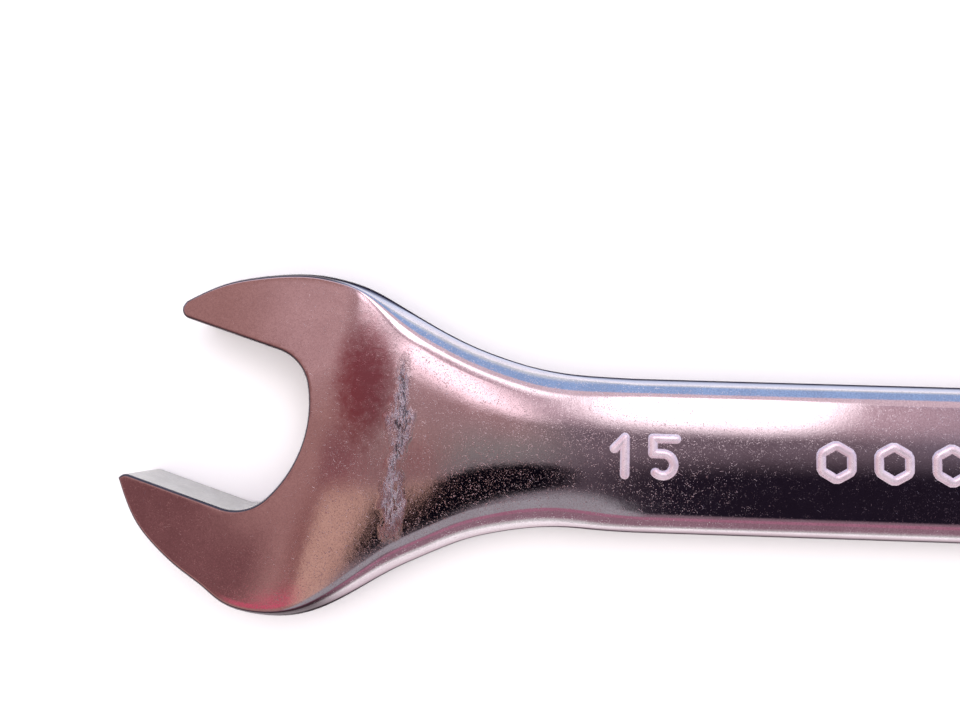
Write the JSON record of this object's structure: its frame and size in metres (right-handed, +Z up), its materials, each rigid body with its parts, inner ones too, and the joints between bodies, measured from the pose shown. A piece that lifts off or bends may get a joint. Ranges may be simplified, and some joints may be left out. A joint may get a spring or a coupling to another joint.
{
  "type": "reversible ratcheting combination wrench",
  "caption": "Polished combination wrench: slanted open jaw at one end, tilted ratcheting ring with a reversing lever at the other.",
  "frame": {"origin": "centre of the ratcheting ring, on its drive axis, half-way through its thickness", "axes": "+X along the handle from the open jaw towards the ring, +Z up from the side with the reversing lever, +Y across; the ring's own drive axis leans 15 degrees back towards the handle"},
  "size_m": [0.2, 0.032, 0.0198],
  "materials": {
    "polished_chrome": "mirror-polished chrome plate with fine use scratches, satin inside the jaws",
    "gear_steel": "satin plated steel",
    "lever_chrome": "satin chrome",
    "black_spring_steel": "black oxide",
    "hardened_steel": "ground and lightly oiled",
    "spring_wire": "drawn wire"
  },
  "bodies": {
    "wrench": {"wrench_body": "polished_chrome", "gear_retaining_ring": "black_spring_steel", "pawl_pin": "hardened_steel"},
    "gear": {"ratchet_gear": "gear_steel"},
    "pawl": {"pawl": "hardened_steel"},
    "lever": {"reversing_lever": "lever_chrome", "lever_retaining_ring": "black_spring_steel", "detent_spring": "spring_wire"},
    "plunger": {"detent_plunger": "hardened_steel"}
  },
  "joints": [
    {"name": "gear_spin", "type": "hinge", "parent": "wrench", "child": "gear", "pos_m": [0, 0, 0], "axis": [-0.2588, 0, 0.9659], "continuous": true},
    {"name": "lever_turn", "type": "hinge", "parent": "wrench", "child": "lever", "pos_m": [-0.01893, 0, -0.00507], "axis": [-0.2588, 0, 0.9659], "range_deg": [0, 44]},
    {"name": "pawl_rock", "type": "hinge", "parent": "wrench", "child": "pawl", "pos_m": [-0.01294, 0, -0.00347], "axis": [-0.2588, 0, 0.9659], "range_deg": [-6.8, 0]},
    {"name": "plunger_slide", "type": "slide", "parent": "lever", "child": "plunger", "axis": [-0.8956, 0.3746, -0.24], "range_m": [0, 0.0005], "stiffness_N_per_m": 800, "springref_m": -0.0005, "deforming": ["detent_spring"]}
  ],
  "couplings": [
    {"joint": "pawl_rock", "follows": "lever_turn", "ratio": -0.15454}
  ]
}
